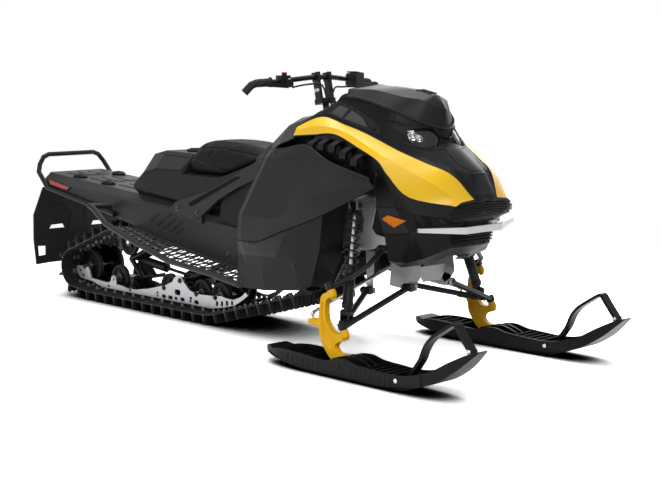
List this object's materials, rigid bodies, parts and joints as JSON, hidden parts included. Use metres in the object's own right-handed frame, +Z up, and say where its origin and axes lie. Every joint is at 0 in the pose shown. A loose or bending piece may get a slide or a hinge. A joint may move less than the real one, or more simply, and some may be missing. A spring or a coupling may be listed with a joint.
{
  "type": "snowmobile",
  "caption": "Deep-snow snowmobile with one long lugged track, two steered skis on twin-arm front suspension, angular bodywork and a short seat behind a high handlebar.",
  "frame": {"origin": "on the ground, under the middle of the vehicle", "axes": "+X forward, +Y to the rider's left, +Z up"},
  "size_m": [3.1272, 1.05, 1.1476],
  "materials": {
    "black_plastic": "moulded, satin",
    "charcoal_plastic": "moulded, satin",
    "charcoal_metal": "satin paint",
    "black_metal": "satin powder coat",
    "grey_metal": "satin paint",
    "aluminium": "brushed",
    "steel": "bright",
    "yellow_plastic": "gloss moulded in colour",
    "yellow_metal": "powder coat",
    "rubber": "matt moulded",
    "seat_vinyl": "grained vinyl",
    "lens": "clear lens",
    "red_lens": "red lens",
    "orange_lens": "amber reflector",
    "screen": "smoked"
  },
  "bodies": {
    "chassis": {"tunnel": "charcoal_metal", "running_boards": "grey_metal", "rear_bumper": "black_metal", "snow_flap": "rubber", "tail_lights": "red_lens", "cargo_anchors": "black_plastic", "fuel_tank": "black_plastic", "seat": "seat_vinyl", "side_struts": "grey_metal", "console": "black_plastic", "side_panels": "charcoal_plastic", "lower_side_panels": "black_plastic", "knee_panels": "black_plastic", "side_louvres": "black_plastic", "hood": "black_plastic", "hood_bands": "yellow_plastic", "windshield": "screen", "headlamps": "lens", "nose_cowl": "black_plastic", "nose_grilles": "black_plastic", "belly_pan": "black_plastic", "front_bumper": "aluminium", "side_reflectors": "orange_lens", "engine": "grey_metal", "bulkhead": "aluminium", "shock_towers": "aluminium", "upper_frame": "aluminium", "lower_arms": "black_metal", "upper_arms": "black_metal", "front_shocks": "black_metal", "front_springs": "black_metal", "track": "rubber", "slide_rails": "aluminium", "slide_shoes": "black_plastic", "skid_wheels": "black_plastic", "skid_axles": "steel", "skid_arms": "black_metal", "skid_shocks": "black_metal", "drive_axle": "black_metal"},
    "handlebars": {"steering_column": "black_metal", "handlebar": "black_metal", "grips": "rubber", "bar_controls": "black_plastic", "control_cables": "rubber"},
    "pitman": {"pitman_arm": "grey_metal"},
    "ski_assembly_right": {"spindle_right": "yellow_metal", "ski_right": "black_plastic", "ski_loop_right": "black_plastic"},
    "ski_assembly_left": {"spindle_left": "yellow_metal", "ski_left": "black_plastic", "ski_loop_left": "black_plastic"},
    "tie_rod_right": {"tie_rod_right": "steel"},
    "tie_rod_left": {"tie_rod_left": "steel"}
  },
  "joints": [
    {"name": "steer", "type": "hinge", "parent": "chassis", "child": "handlebars", "pos_m": [0.335, 0, 1.04], "axis": [-0.2079, 0, 0.9781], "range_deg": [-35, 35]},
    {"name": "kingpin_right", "type": "hinge", "parent": "chassis", "child": "ski_assembly_right", "pos_m": [0.885, -0.45, 0.187], "axis": [-0.4226, 0, 0.9063], "range_deg": [-28, 28]},
    {"name": "kingpin_left", "type": "hinge", "parent": "chassis", "child": "ski_assembly_left", "pos_m": [0.885, 0.45, 0.187], "axis": [-0.4226, 0, 0.9063], "range_deg": [-28, 28]},
    {"name": "pitman_pivot", "type": "hinge", "parent": "chassis", "child": "pitman", "pos_m": [0.89516, 0, 0.4229], "axis": [-0.4226, 0, 0.9063], "range_deg": [-28, 28]},
    {"name": "tie_rod_ball_right", "type": "hinge", "parent": "ski_assembly_right", "child": "tie_rod_right", "pos_m": [0.72534, -0.45, 0.20523], "axis": [-0.4226, 0, 0.9063], "range_deg": [-28, 28]},
    {"name": "tie_rod_ball_left", "type": "hinge", "parent": "ski_assembly_left", "child": "tie_rod_left", "pos_m": [0.72534, 0.45, 0.20523], "axis": [-0.4226, 0, 0.9063], "range_deg": [-28, 28]}
  ],
  "couplings": [
    {"joint": "kingpin_right", "follows": "steer", "ratio": 0.8},
    {"joint": "kingpin_left", "follows": "steer", "ratio": 0.8},
    {"joint": "pitman_pivot", "follows": "steer", "ratio": 0.8},
    {"joint": "tie_rod_ball_right", "follows": "steer", "ratio": -0.8},
    {"joint": "tie_rod_ball_left", "follows": "steer", "ratio": -0.8}
  ]
}
